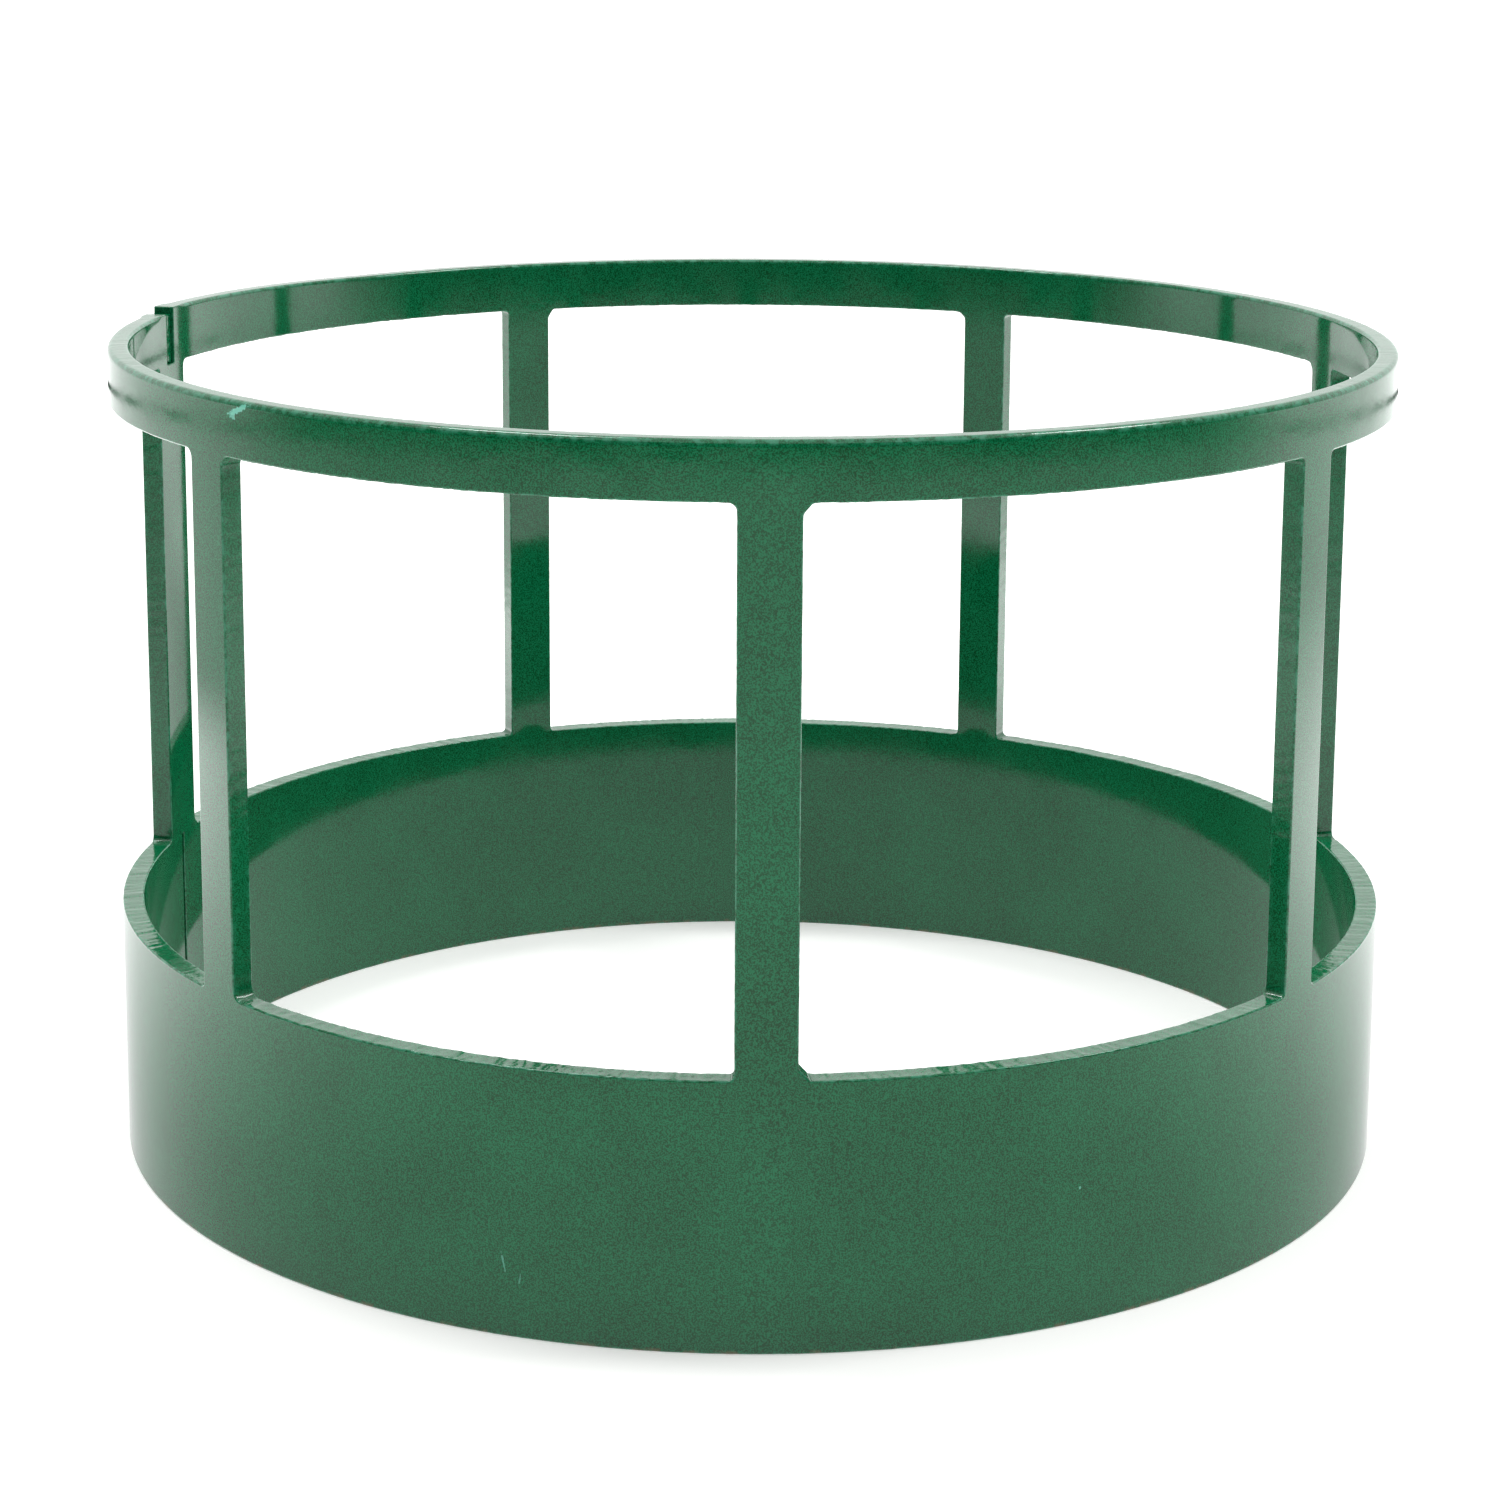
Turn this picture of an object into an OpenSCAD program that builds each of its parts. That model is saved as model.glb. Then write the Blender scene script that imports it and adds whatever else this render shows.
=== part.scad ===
// Round hay ring feeder, as a small farm model in painted steel.
// A deep skirt stands on the ground, flat posts rise from it, and a narrow hoop joins their tops.
// The hoop and the skirt are rolled strips. Their ends meet on one line, at the seam post.
// Every part is as thick as the sheet, so the ring is flush inside and outside.
// The posts are not quite evenly spaced or equally wide, as their places are marked out by hand.
// The origin is on the ring's axis at ground level, +Z is up, and the front post is at -Y.
// All lengths are in millimetres and all angles in degrees.

/* [Ring] */
// Outside diameter of the ring
ring_d = 120; // [100:1:150]
// Height of the ring, without the small step at the hoop's seam
ring_h = 76; // [65:1:90]
// Thickness of the sheet
wall = 2; // [1.5:0.1:3]

/* [Skirt, hoop and posts] */
// Height of the closed skirt
skirt_h = 23.5; // [15:0.5:30]
// Height of the hoop's strip
hoop_h = 5; // [4:0.5:8]
// Width of a plain post, measured round the outside
post_w = 4.8; // [4:0.1:8]
// Extra width of the seam post, which carries both ends of the hoop
seam_post_extra = 1.9; // [1:0.1:3]

/* [Seam] */
// Width of the gap between the hoop's two ends, which its weld bridges
hoop_gap = 2; // [0.5:0.1:3]
// Width of the gap between the skirt's two ends
skirt_gap = 0.5; // [0.3:0.1:1]
// Depth of the groove that both welds leave open on the inside
seam_groove = 0.3; // [0.2:0.1:1]
// Height by which one end of the hoop stands above the other
seam_step = 0.5; // [0.2:0.1:1]
// Angle over which that end of the hoop rises
seam_rise_angle = 36; // [20:1:45]

/* [Welds] */
// Scale of the corner welds, where 1 gives their listed legs
weld_scale = 1; // [0.7:0.05:1.3]

/* [Hidden] */
ring_r = ring_d / 2;
bore_r = ring_r - wall;
hoop_z = ring_h - hoop_h;
window_h = hoop_z - skirt_h;

// Posts in turn round the ring, anticlockwise from the front as seen from above.
POSTS = ["front", "front_right", "right", "rear_right", "rear_left", "seam", "front_left"];
post_count = len(POSTS);
post_pitch = 360 / post_count;
front_angle = -90;
// How far each post stands from its even place, in degrees anticlockwise.
POST_SHIFTS = [0, 0.2, 0.5, -1.4, -2.1, 0.1, 0.1];
// How much wider than a plain post each one is.
POST_EXTRAS = [0.4, 0, 0, 0, 0, seam_post_extra, 0];
seam_post = search(["seam"], POSTS)[0];

// Legs of the corner welds at each post, seen from outside the ring:
// under the hoop to the left and right of the post, then on the skirt to its left and right.
// Each corner is [leg along the strip, leg along the post, whether its face is hollow].
WELD_LEGS = [
    [[0.8, 0.8, true], [0.8, 0.9, false], [0.6, 0.6, true], [0.9, 1.0, false]],
    [[0.5, 0.5, true], [0.6, 0.7, true], [0.7, 0.8, true], [0.5, 0.5, true]],
    [[0.7, 0.8, true], [0.6, 0.7, false], [0.6, 0.7, true], [0.7, 0.6, false]],
    [[0.5, 0.5, true], [0.65, 0.65, false], [0.6, 0.5, true], [0.5, 0.5, true]],
    [[0.6, 0.9, false], [0.5, 0.5, true], [0.6, 0.6, true], [0.5, 0.5, true]],
    [[0.7, 0.8, true], [0.7, 0.6, true], [0.8, 0.7, false], [0.7, 0.7, true]],
    [[0.8, 1.0, true], [0.6, 0.65, false], [0.6, 0.6, true], [0.8, 1.2, true]]
];
// Radius of a hollow weld's face, as a multiple of its longer leg.
hollow_ratio = 1.15;
// How far the hollow cuts past the ends of the legs, so that no toe is a feather edge.
toe_trim = 0.04;
// Half the height and half the angle of a stretch of wall with room for any corner weld.
weld_room = 4;
weld_room_angle = 5;

// Facets of a full circle, and how far cutting shapes run past what they cut.
ring_facets = 256;
fillet_facets = 48;
margin = 1;
$fn = ring_facets;

PAINT = [0.18, 0.42, 0.31];
WELD_PAINT = [0.22, 0.48, 0.36];

// Angle in degrees of a length measured round the outside.
function angle_of(length) = length / ring_r * 180 / PI;

function post_angle(i) = front_angle + i * post_pitch + POST_SHIFTS[i];
function post_angle_w(i) = angle_of(post_w + POST_EXTRAS[i]);

seam_angle = post_angle(seam_post);

// A length of the ring's wall, from one angle round to another and from z up by a height.
module wall_arc(from_angle, turn, z, height, inner_r = bore_r) {
    rotate_extrude(angle = turn, start = from_angle)
        translate([inner_r, z])
            square([ring_r - inner_r, height]);
}

// A strip rolled into a ring, with its two ends a gap apart at the seam.
module rolled_strip(z, height, gap) {
    wall_arc(seam_angle + angle_of(gap) / 2, 360 - angle_of(gap), z, height);
}

// The sliver on top of the hoop where its end rises to the seam.
module hoop_rise() {
    end_angle = seam_angle - angle_of(hoop_gap) / 2;
    // The sloping top is a plane that is level with the hoop at the start of the rise.
    run = ring_r * sin(seam_rise_angle);
    slope = atan(seam_step / run);
    intersection() {
        wall_arc(end_angle - seam_rise_angle, seam_rise_angle, ring_h, seam_step);
        rotate([0, 0, end_angle - seam_rise_angle])
            translate([0, 0, ring_h])
                rotate([slope, 0, 0])
                    translate([-ring_r, -margin, -ring_r])
                        cube([ring_d + margin, ring_r + margin, ring_r]);
    }
}

module top_hoop() {
    color(PAINT)
        union() {
            rolled_strip(hoop_z, hoop_h, hoop_gap);
            hoop_rise();
        }
}

module base_skirt() {
    color(PAINT)
        rolled_strip(0, skirt_h, skirt_gap);
}

// The weld that joins a strip's two ends, flush outside and short of the bore inside.
module seam_weld(z, height, gap) {
    color(WELD_PAINT)
        wall_arc(seam_angle - angle_of(gap) / 2, angle_of(gap), z, height, bore_r + seam_groove);
}

// A flat bar between the skirt and the hoop.
module post(i) {
    color(PAINT)
        wall_arc(post_angle(i) - post_angle_w(i) / 2, post_angle_w(i), skirt_h, window_h);
}

// Outline of a corner weld, with the corner at the origin.
// Its legs run along X to side, and along Y away from up, which are each +1 or -1.
module weld_outline(side, up, legs) {
    along = legs[0] * weld_scale;
    down = legs[1] * weld_scale;
    // The hollow's arc has this radius, and its centre is as far from the ends of both legs.
    hollow_r = hollow_ratio * max(along, down);
    half_chord = norm([along, down]) / 2;
    bow = sqrt(hollow_r * hollow_r - half_chord * half_chord) / (2 * half_chord);
    difference() {
        polygon([[0, 0], [side * along, 0], [0, -up * down]]);
        if (legs[2])
            translate([side * (along / 2 + down * bow), -up * (down / 2 + along * bow)])
                circle(r = hollow_r + toe_trim, $fn = fillet_facets);
    }
}

// One corner weld beside a post: side is +1 for its anticlockwise side and -1 for the other,
// and up is +1 under the hoop and -1 on the skirt.
module corner_weld(i, side, up, legs) {
    edge_angle = post_angle(i) + side * post_angle_w(i) / 2;
    corner_z = up > 0 ? hoop_z : skirt_h;
    room_z = corner_z - weld_room;
    intersection() {
        wall_arc(edge_angle - weld_room_angle, 2 * weld_room_angle, room_z, 2 * weld_room);
        rotate([0, 0, edge_angle])
            translate([bore_r - margin, 0, corner_z])
                rotate([90, 0, 90])
                    linear_extrude(wall + 2 * margin)
                        weld_outline(side, up, legs);
    }
}

// The two corner welds at one end of a post. Seen from outside, anticlockwise is to the right.
module post_welds(i, up) {
    first = up > 0 ? 0 : 2;
    color(WELD_PAINT)
        union() {
            corner_weld(i, -1, up, WELD_LEGS[i][first]);
            corner_weld(i, 1, up, WELD_LEGS[i][first + 1]);
        }
}

top_hoop();
base_skirt();
seam_weld(hoop_z, hoop_h, hoop_gap);  // hoop_seam_weld
seam_weld(0, skirt_h, skirt_gap);  // skirt_seam_weld
for (i = [0 : post_count - 1]) {
    post(i);
    post_welds(i, 1);
    post_welds(i, -1);
}
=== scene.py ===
"""Round hay ring feeder: its looks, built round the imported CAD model.

The hoop, the skirt, the posts and their welds are one flush painted surface, so the wall is laid out flat
(s along the outside, z up, both in millimetres), its outlines get a cut edge with a rounded profile, and
each piece takes its own share of that surface and is closed at its joints.
"""

import math

import bpy
import numpy as np
from mathutils import Matrix, Vector, noise
from mathutils.geometry import delaunay_2d_cdt


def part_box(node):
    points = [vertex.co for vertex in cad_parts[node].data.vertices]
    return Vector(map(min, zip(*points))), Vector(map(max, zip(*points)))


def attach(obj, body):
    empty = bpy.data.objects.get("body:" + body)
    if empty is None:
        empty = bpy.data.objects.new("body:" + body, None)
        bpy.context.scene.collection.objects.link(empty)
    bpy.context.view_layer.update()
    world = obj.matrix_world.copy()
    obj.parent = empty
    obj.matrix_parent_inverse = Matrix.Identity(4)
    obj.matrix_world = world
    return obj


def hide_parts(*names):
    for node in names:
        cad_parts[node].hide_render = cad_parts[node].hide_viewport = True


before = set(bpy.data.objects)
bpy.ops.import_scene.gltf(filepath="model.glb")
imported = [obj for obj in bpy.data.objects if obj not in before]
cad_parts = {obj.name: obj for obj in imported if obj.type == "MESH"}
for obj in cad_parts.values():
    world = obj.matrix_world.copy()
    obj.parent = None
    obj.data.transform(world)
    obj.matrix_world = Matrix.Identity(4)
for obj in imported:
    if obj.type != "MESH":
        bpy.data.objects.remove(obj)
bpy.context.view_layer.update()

MM = 0.001
TURN = 2 * math.pi


def linked(name, data):
    """A new object in the scene."""
    obj = bpy.data.objects.new(name, data)
    bpy.context.scene.collection.objects.link(obj)
    return obj


# ---------------------------------------------------------------- measures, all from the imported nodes


def node_cylinder(name):
    """Angle, radius and height of a node's vertices, in radians and millimetres."""
    co = np.array([v.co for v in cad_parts[name].data.vertices]) / MM
    return np.arctan2(co[:, 1], co[:, 0]), np.hypot(co[:, 0], co[:, 1]), co[:, 2]


def wrap(angle):
    """An angle or array of angles between -pi and pi."""
    return (np.asarray(angle) + math.pi) % TURN - math.pi


def node_angle(name):
    """The azimuth of a node's middle, in radians."""
    angles = node_cylinder(name)[0]
    return math.atan2(np.sin(angles).sum(), np.cos(angles).sum())


hoop_phi, hoop_r, hoop_zs = node_cylinder("top_hoop")
R_OUT, R_IN = hoop_r.max(), hoop_r.min()
WALL = R_OUT - R_IN
HOOP_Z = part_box("top_hoop")[0].z / MM
SKIRT_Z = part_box("base_skirt")[1].z / MM
RING_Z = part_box("hoop_seam_weld")[1].z / MM
SEAM_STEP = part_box("top_hoop")[1].z / MM - RING_Z
SEAM_PHI = node_angle("hoop_seam_weld")
GAP = {
    strip: 2 * np.abs(wrap(node_cylinder(strip + "_seam_weld")[0] - SEAM_PHI)).max() * R_OUT
    for strip in ("hoop", "skirt")
}
GROOVE = node_cylinder("hoop_seam_weld")[1].min() - R_IN
raised = hoop_zs > RING_Z + 0.001 * SEAM_STEP
RISE_ANGLE = np.abs(wrap(hoop_phi[raised] - SEAM_PHI)).max() - GAP["hoop"] / 2 / R_OUT
ROUND = TURN * R_OUT  # the unrolled length; s = 0 and s = ROUND are both the seam

SLACK = 0.1  # keeps the seam post first although its angle may round to just under the seam's


def turn_from_seam(name):
    """A node's angle anticlockwise from the seam, from -SLACK up to a full turn less SLACK."""
    return (node_angle(name) - SEAM_PHI + SLACK) % TURN - SLACK


# Posts in turn from the seam, anticlockwise from above, which is to the right from outside.
POSTS = sorted(
    (n[len("post_") :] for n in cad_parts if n.startswith("post_")),
    key=lambda n: turn_from_seam("post_" + n),
)
COUNT = len(POSTS)
POST_S = [turn_from_seam("post_" + n) * R_OUT for n in POSTS]
HALF_POST = [
    np.abs(wrap(node_cylinder("post_" + n)[0] - node_angle("post_" + n))).max() * R_OUT for n in POSTS
]


def weld_corner(node, post, side, corner_z):
    """(leg along the strip, leg along the post, hollow or not) of one corner of a weld node."""
    phi, r, z = node_cylinder(node)
    u = side * wrap(phi - node_angle("post_" + post)) * R_OUT - HALF_POST[POSTS.index(post)]
    mine = u > -0.05  # this side's weld, with room for rounding in the mesh
    u, v = u[mine], np.abs(z[mine] - corner_z)
    along, down = u.max(), v.max()
    inside = (u > 0.1 * along) & (v > 0.1 * down)
    hollow = bool(inside.any() and (u[inside] / along + v[inside] / down).min() < 0.95)
    return along, down, hollow


# ---------------------------------------------------------------- the flat layout


def place(s, z, depth):
    """A point of the wall as x, y, z in metres: s round the outside, z up, depth in from the outside."""
    phi = SEAM_PHI + np.asarray(s) / R_OUT
    r = R_OUT - np.asarray(depth)
    return np.stack([r * np.cos(phi), r * np.sin(phi), np.asarray(z) + 0 * phi], -1) * MM


def rim_rise(s):
    """Height of the hoop's top above its plain height: it climbs to the step on the seam's far side."""
    turn = (np.asarray(s) - (ROUND - GAP["hoop"] / 2 - RISE_ANGLE * R_OUT)) / R_OUT
    return SEAM_STEP * np.sin(np.clip(turn, 0, RISE_ANGLE)) / math.sin(RISE_ANGLE)


def resample(line, step):
    """Points at about equal steps along a polyline, its ends included."""
    line = np.asarray(line, float)
    run = np.concatenate([[0], np.cumsum(np.hypot(*np.diff(line, axis=0).T))])
    n = max(2, int(round(run[-1] / step)) + 1)
    at = np.linspace(0, run[-1], n)
    return np.stack([np.interp(at, run, line[:, 0]), np.interp(at, run, line[:, 1])], -1)


# Steps between points along the outlines
EDGE_STEP = 0.3
WELD_STEP = 0.12
FOOT_STEP = 0.5
# Where a hollow weld's curve is pulled to, as a share of the way from its corner to its chord
HOLLOW_PULL = 0.31
HOLLOW_POINTS = 13


def weld_line(corner, side, up, legs):
    """A corner weld's free edge, from its toe on the post to its toe on the strip."""
    along, down, hollow = legs
    on_post = np.array([corner[0], corner[1] - up * down])
    on_strip = np.array([corner[0] + side * along, corner[1]])
    if not hollow:
        return np.array([on_post, on_strip])
    pull = np.array(corner) + HOLLOW_PULL * ((on_post + on_strip) / 2 - corner)
    t = np.linspace(0, 1, HOLLOW_POINTS)[:, None]
    return (1 - t) ** 2 * on_post + 2 * t * (1 - t) * pull + t**2 * on_strip


SOFTEN = 2  # rounds of smoothing over an outline's corners


class Outline:
    """A closed outline of the wall, with the open air on its left, made of stretches that pieces own."""

    def __init__(self, stretches, period=0.0):
        """stretches: (owner, edge kind, polyline, step), each starting where the one before ends."""
        points, kind, self.start = [], [], {}
        for owner, what, line, step in stretches:
            part = resample(line, step)[:-1]
            self.start[owner] = len(points)
            points += list(part)
            kind += [what] * len(part)
        self.period = period
        self.points = np.array(points)
        self.kind = kind
        self.n = len(points)
        for _ in range(SOFTEN):
            before, after = self.neighbours(self.points)
            self.points = (before + 2 * self.points + after) / 4
        before, after = self.neighbours(self.points)
        tangent = after - before
        tangent /= np.hypot(*tangent.T)[:, None]
        self.inward = np.stack([tangent[:, 1], -tangent[:, 0]], -1)
        step = np.hypot(*(self.points - before).T)
        self.run = np.cumsum(step)

    def neighbours(self, p):
        """The points before and after each point of the outline."""
        before, after = np.roll(p, 1, 0), np.roll(p, -1, 0)
        before[0, 0] -= self.period
        after[-1, 0] += self.period
        return before, after


# Edge kinds: (outer radius, inner radius, where the flat faces start, roughness of the cut)
EDGES = {
    "rim": (0.5, 0.34, 0.62, 0.4),
    "foot": (0.2, 0.2, 0.3, 0.5),
    "window": (0.15, 0.13, 0.17, 1.0),
    "post": (0.15, 0.13, 0.17, 0.4),
    "sill": (0.15, 0.14, 0.17, 1.25),
    "seam": (0.1, 0.1, 0.13, 0.6),
}
KIND_BLEND = 6  # rounds of smoothing where one kind of edge passes into the next
ARC = 5  # spans of each rounded edge
FLAT = 3  # points on the cut face between the two edges
# How far each point of a column is on a rounded edge, and on the cut face between the two edges
EDGE_MASK = [0.0, 0.15, 0.7, 1.0, 1.0, 0.7, 0.3] + [0.0] * FLAT + [0.3, 0.7, 1.0, 1.0, 0.7, 0.15, 0.0]
CUT_MASK = [0.0, 0.0, 0.1, 0.4, 0.7, 0.9, 1.0] + [1.0] * FLAT + [1.0, 0.9, 0.7, 0.4, 0.1, 0.0, 0.0]


def wobble(x, y, seed, size):
    """Smooth noise between about -1 and 1 at points x, y in millimetres."""
    return np.array([noise.noise(Vector((a / size, b / size, seed * 7.31))) for a, b in zip(x, y)])


def column_profile(outer, inner, start):
    """How far in from the outline each point of a column lies, and how deep from the outer face."""
    turn = np.linspace(0, math.pi / 2, ARC + 1)
    sweep_in, sweep_down = 1 - np.sin(turn), 1 - np.cos(turn)
    inset = [start] + [outer * x for x in sweep_in]
    depth = [0 * outer] + [outer * x for x in sweep_down]
    for f in np.linspace(0, 1, FLAT + 2)[1:-1]:
        inset.append(0 * outer)
        depth.append(outer + f * (WALL - outer - inner))
    inset += [inner * x for x in sweep_in[::-1]] + [start]
    depth += [WALL - inner * x for x in sweep_down[::-1]] + [WALL + 0 * outer]
    return np.array(inset), np.array(depth)


def cut_relief(run, depths, seed):
    """For each depth, how far in from its mean place the cut lies along an outline.
    Drag lines and nicks run through the wall, with grit and slanting scratches on them,
    and a burr stands proud along the outer edge."""
    lines = 0.022 * wobble(run, 0 * run, seed, 0.55) + 0.03 * wobble(run, 0 * run, seed + 3, 1.9)
    nicks = 0.085 * np.clip(wobble(run, 0 * run, seed + 5, 0.8) - 0.42, 0, 1)
    ridge = 0.6 + wobble(run, 0 * run, seed + 15, 0.7)
    relief = []
    for depth in depths:
        grit = 0.014 * wobble(run, depth, seed + 9, 0.35)
        slant = 0.03 * wobble(run + 0.25 * depth, 0 * run, seed + 12, 0.45)
        burr = 0.03 * np.exp(-(((depth - 0.22) / 0.16) ** 2)) * ridge
        relief.append(grit + slant - lines * 0.8 + nicks - burr)
    return np.array(relief)


def edge_columns(outline, seed):
    """For each point of an outline, its column of points over the cut edge: position in metres and normal.
    Each column runs from the outer face, over the edge, to the inner face."""
    table = np.array([EDGES[k] for k in outline.kind], float)
    for _ in range(KIND_BLEND):
        table = (np.roll(table, 1, 0) + 2 * table + np.roll(table, -1, 0)) / 4
    outer, inner, start, rough = table.T
    inset, depth = column_profile(outer, inner, start)
    fade = 1 - inset / start
    inset = inset + fade * rough * cut_relief(outline.run, depth, seed)
    if outline.period:
        inset = np.maximum(inset, 0)  # nothing stands proud of the rim or the foot
    s = outline.points[:, 0] + outline.inward[:, 0] * inset
    z = outline.points[:, 1] + outline.inward[:, 1] * inset
    co = place(s, z, depth)
    along = np.roll(co, -1, 1) - np.roll(co, 1, 1)
    across = np.gradient(co, axis=0)
    normal = np.cross(along, across)
    normal /= np.linalg.norm(normal, axis=-1)[..., None]
    radial = np.stack([co[..., 0], co[..., 1], 0 * co[..., 0]], -1)
    radial /= np.linalg.norm(radial, axis=-1)[..., None]
    # the ends of a column belong to the two faces, so the shading has no crease there
    normal[0], normal[-1] = radial[0], -radial[-1]
    flat = outline.points + outline.inward * start[:, None]
    return {"co": co.swapaxes(0, 1), "normal": normal.swapaxes(0, 1), "flat": flat}


def window_outline(i):
    """The outline of the window to the right of post i."""
    post, after = POSTS[i], POSTS[(i + 1) % COUNT]
    left = POST_S[i] + HALF_POST[i]
    right = (POST_S[i + 1] if i + 1 < COUNT else ROUND) - HALF_POST[(i + 1) % COUNT]
    low, high = SKIRT_Z, HOOP_Z
    foot_r = weld_line((right, low), -1, -1, weld_corner("skirt_weld_" + after, after, -1, low))
    head_r = weld_line((right, high), -1, 1, weld_corner("hoop_weld_" + after, after, -1, high))
    head_l = weld_line((left, high), 1, 1, weld_corner("hoop_weld_" + post, post, 1, high))
    foot_l = weld_line((left, low), 1, -1, weld_corner("skirt_weld_" + post, post, 1, low))
    return Outline(
        [
            ("base_skirt", "sill", [foot_l[-1], foot_r[-1]], EDGE_STEP),
            ("skirt_weld_" + after, "window", foot_r[::-1], WELD_STEP),
            ("post_" + after, "post", [foot_r[0], head_r[0]], EDGE_STEP),
            ("hoop_weld_" + after, "window", head_r, WELD_STEP),
            ("top_hoop", "window", [head_r[-1], head_l[-1]], EDGE_STEP),
            ("hoop_weld_" + post, "window", head_l[::-1], WELD_STEP),
            ("post_" + post, "post", [head_l[0], foot_l[0]], EDGE_STEP),
            ("skirt_weld_" + post, "window", foot_l, WELD_STEP),
        ]
    )


SEAM_REACH = 2.0  # how far from a strip's end its rim keeps the seam's finer edge
RIM_POINTS = 400


def top_outline():
    """The hoop's rim and the slot between its ends, anticlockwise from the seam."""
    g = GAP["hoop"] / 2
    rim_s = np.linspace(g + SEAM_REACH, ROUND - g - SEAM_REACH, RIM_POINTS)
    rim = np.stack([rim_s, RING_Z + rim_rise(rim_s)], -1)
    low_end, raised_end = [g, RING_Z], [ROUND - g, RING_Z + SEAM_STEP]
    return Outline(
        [
            ("top_hoop", "seam", [[g, HOOP_Z], low_end], WELD_STEP),
            ("top_hoop.a", "seam", [low_end, rim[0]], WELD_STEP),
            ("top_hoop.b", "rim", rim, EDGE_STEP),
            ("top_hoop.c", "seam", [rim[-1], raised_end], WELD_STEP),
            ("top_hoop.d", "seam", [raised_end, [ROUND - g, HOOP_Z]], WELD_STEP),
            ("post_seam", "seam", [[ROUND - g, HOOP_Z], [ROUND + g, HOOP_Z]], WELD_STEP),
        ],
        period=ROUND,
    )


def bottom_outline():
    """The skirt's foot and the slot between its ends, clockwise from the seam."""
    g = GAP["skirt"] / 2
    far = g + SEAM_REACH
    return Outline(
        [
            ("base_skirt", "seam", [[ROUND - g, SKIRT_Z], [ROUND - g, 0]], WELD_STEP),
            ("base_skirt.a", "seam", [[ROUND - g, 0], [ROUND - g - SEAM_REACH, 0]], WELD_STEP),
            ("base_skirt.b", "foot", [[ROUND - g - SEAM_REACH, 0], [far, 0]], FOOT_STEP),
            ("base_skirt.c", "seam", [[far, 0], [g, 0]], WELD_STEP),
            ("base_skirt.d", "seam", [[g, 0], [g, SKIRT_Z]], WELD_STEP),
            ("post_seam", "seam", [[g, SKIRT_Z], [-g, SKIRT_Z]], WELD_STEP),
        ],
        period=-ROUND,
    )


OUTLINES = {("window", i): window_outline(i) for i in range(COUNT)}
OUTLINES["top"] = top_outline()
OUTLINES["bottom"] = bottom_outline()
COLUMNS = {key: edge_columns(o, 20 + 31 * n) for n, (key, o) in enumerate(OUTLINES.items())}


def within(points, polygon):
    """Which points lie inside a closed polygon."""
    a, b = polygon, np.roll(polygon, -1, 0)
    result = []
    for part in np.array_split(points, max(1, len(points) * len(a) // 4000000)):
        x, y = part[:, :1], part[:, 1:]
        spans = (a[:, 1] > y) != (b[:, 1] > y)
        rise = np.where(a[:, 1] == b[:, 1], 1.0, b[:, 1] - a[:, 1])
        crossing = a[:, 0] + (y - a[:, 1]) / rise * (b[:, 0] - a[:, 0])
        result.append(((spans & (x < crossing)).sum(1) % 2).astype(bool))
    return np.concatenate(result)


def flat_at(key, k, shift=0.0):
    """Where a face starts at point k of an outline, as s and z."""
    outline = OUTLINES[key]
    f = COLUMNS[key]["flat"][k % outline.n]
    return (f[0] + (k // outline.n) * outline.period + shift, f[1])


SKIRT_LEAN = 0.04  # slope that the skirt's inner face is shaded with


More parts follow.
